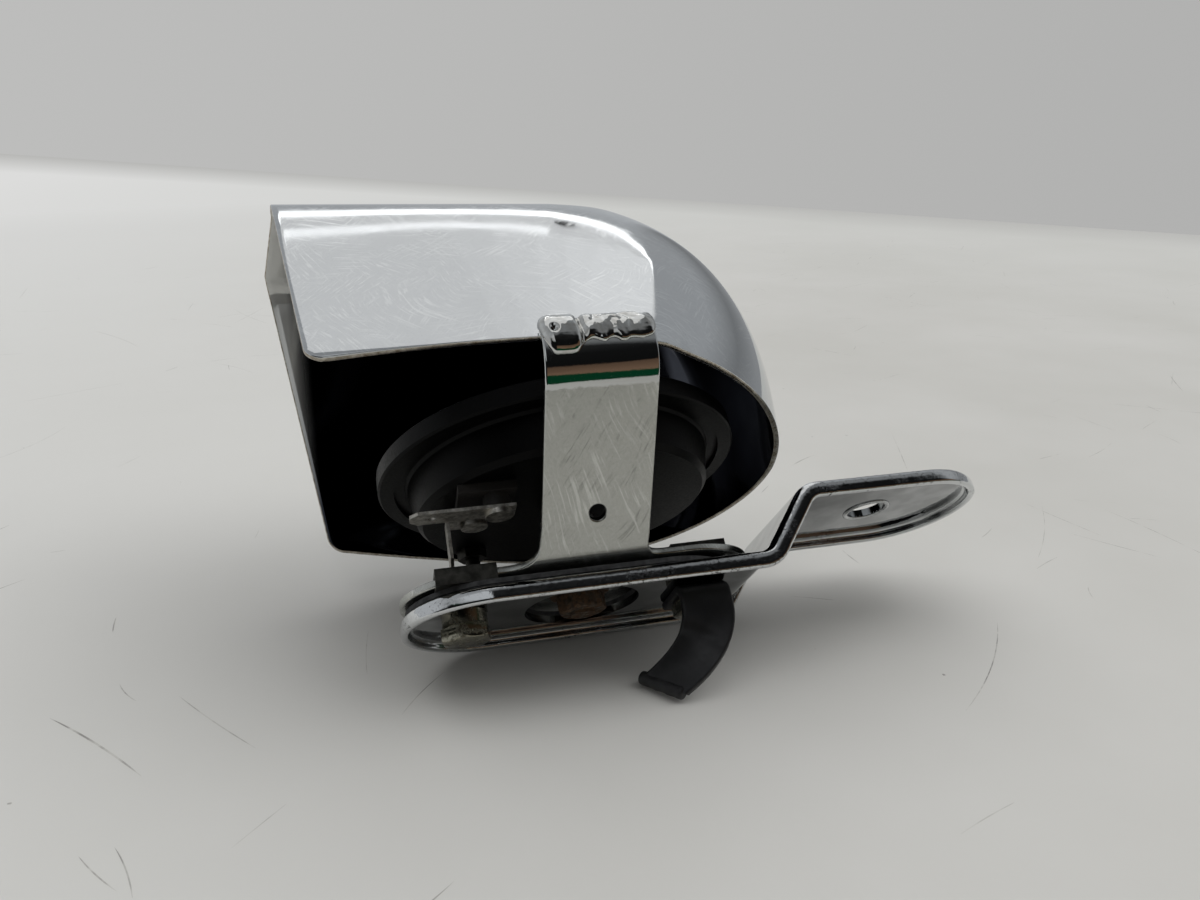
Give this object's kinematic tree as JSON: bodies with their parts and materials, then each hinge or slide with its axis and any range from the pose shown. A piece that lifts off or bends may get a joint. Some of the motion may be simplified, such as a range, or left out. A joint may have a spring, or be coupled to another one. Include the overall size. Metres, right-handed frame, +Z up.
{
  "type": "motorcycle horn",
  "caption": "Disc horn under a chromed bell cover, carried by a welded strap on a flanged, joggled mounting bracket, lying as it rests on a table.",
  "frame": {"origin": "centre of the outer box's underside, on the table that it rests on", "axes": "+X along the bracket towards its mounting end, +Y away from the strap's side, +Z up"},
  "size_m": [0.1887, 0.1292, 0.1097],
  "materials": {
    "chrome": "polished",
    "satin_chrome": "satin, scuffed",
    "chrome_bracket": "polished, pitted at the lip",
    "weld": "plated over, rough",
    "rubber": "textured",
    "yellow_zinc": "yellow zinc plate, dulled",
    "aged_zinc": "dulled",
    "dull_steel": "dull",
    "dark_steel": "satin black",
    "black_coating": "semi-gloss dip coating",
    "black_paint": "satin black enamel",
    "gasket": "matte fibre card",
    "plain_steel": "plain",
    "fibre": "matte fibre board",
    "copper": "enamelled copper wire",
    "brass": "plain",
    "contact_metal": "polished",
    "tinned_brass": "tinned, dulled",
    "rusty_steel": "brown surface rust"
  },
  "bodies": {
    "root_body": {"cover_shell": "chrome", "cover_strap": "satin_chrome", "weld_beads": "weld", "mount_bracket": "chrome_bracket", "bracket_pad": "rubber", "bracket_bolts": "yellow_zinc", "lock_washer": "yellow_zinc", "spacer_washer": "dull_steel", "spring_nut": "dark_steel", "block_nut": "dark_steel", "wire_clip": "black_coating", "horn_housing": "black_paint", "clamp_ring": "black_paint", "rear_gasket": "gasket", "front_gasket": "gasket", "pole_core": "plain_steel", "coil_bobbin": "fibre", "coil_winding": "copper", "breaker_insulator": "fibre", "contact_bracket": "brass", "fixed_contact": "contact_metal", "breaker_post": "plain_steel", "breaker_pin": "plain_steel", "adjuster_nut": "aged_zinc", "terminal_plate": "fibre", "inner_insulator": "fibre", "terminal_bush": "fibre", "flat_terminal": "tinned_brass", "bent_terminal": "tinned_brass", "terminal_rivets": "tinned_brass", "horn_stud": "rusty_steel", "spacer_tube": "dull_steel", "stud_washer": "rusty_steel", "stud_nut": "rusty_steel"},
    "diaphragm_stack": {"armature": "plain_steel", "centre_spacer": "plain_steel", "tone_disc": "plain_steel", "tone_disc_nut": "plain_steel", "diaphragm": "plain_steel"},
    "breaker": {"breaker_arm": "brass", "moving_contact": "contact_metal", "push_pad": "fibre"},
    "adjuster": {"adjusting_screw": "aged_zinc"}
  },
  "joints": [
    {"name": "diaphragm_stroke", "type": "slide", "parent": "root_body", "child": "diaphragm_stack", "axis": [0, 0.702, 0.7122], "range_m": [-0.0005, 0], "stiffness_N_per_m": 60000, "deforming": ["diaphragm"]},
    {"name": "breaker_swing", "type": "hinge", "parent": "root_body", "child": "breaker", "pos_m": [-0.03945, -0.00304, 0.02892], "axis": [-0.7071, -0.5036, 0.4964], "range_deg": [-1.69, 0]},
    {"name": "adjuster_turn", "type": "hinge", "parent": "root_body", "child": "adjuster", "pos_m": [-0.0434, -0.00661, 0.01966], "axis": [0, 0.702, 0.7122], "range_deg": [-180, 180]}
  ],
  "couplings": [
    {"joint": "breaker_swing", "follows": "diaphragm_stroke", "rad_per_m": 57.803}
  ]
}
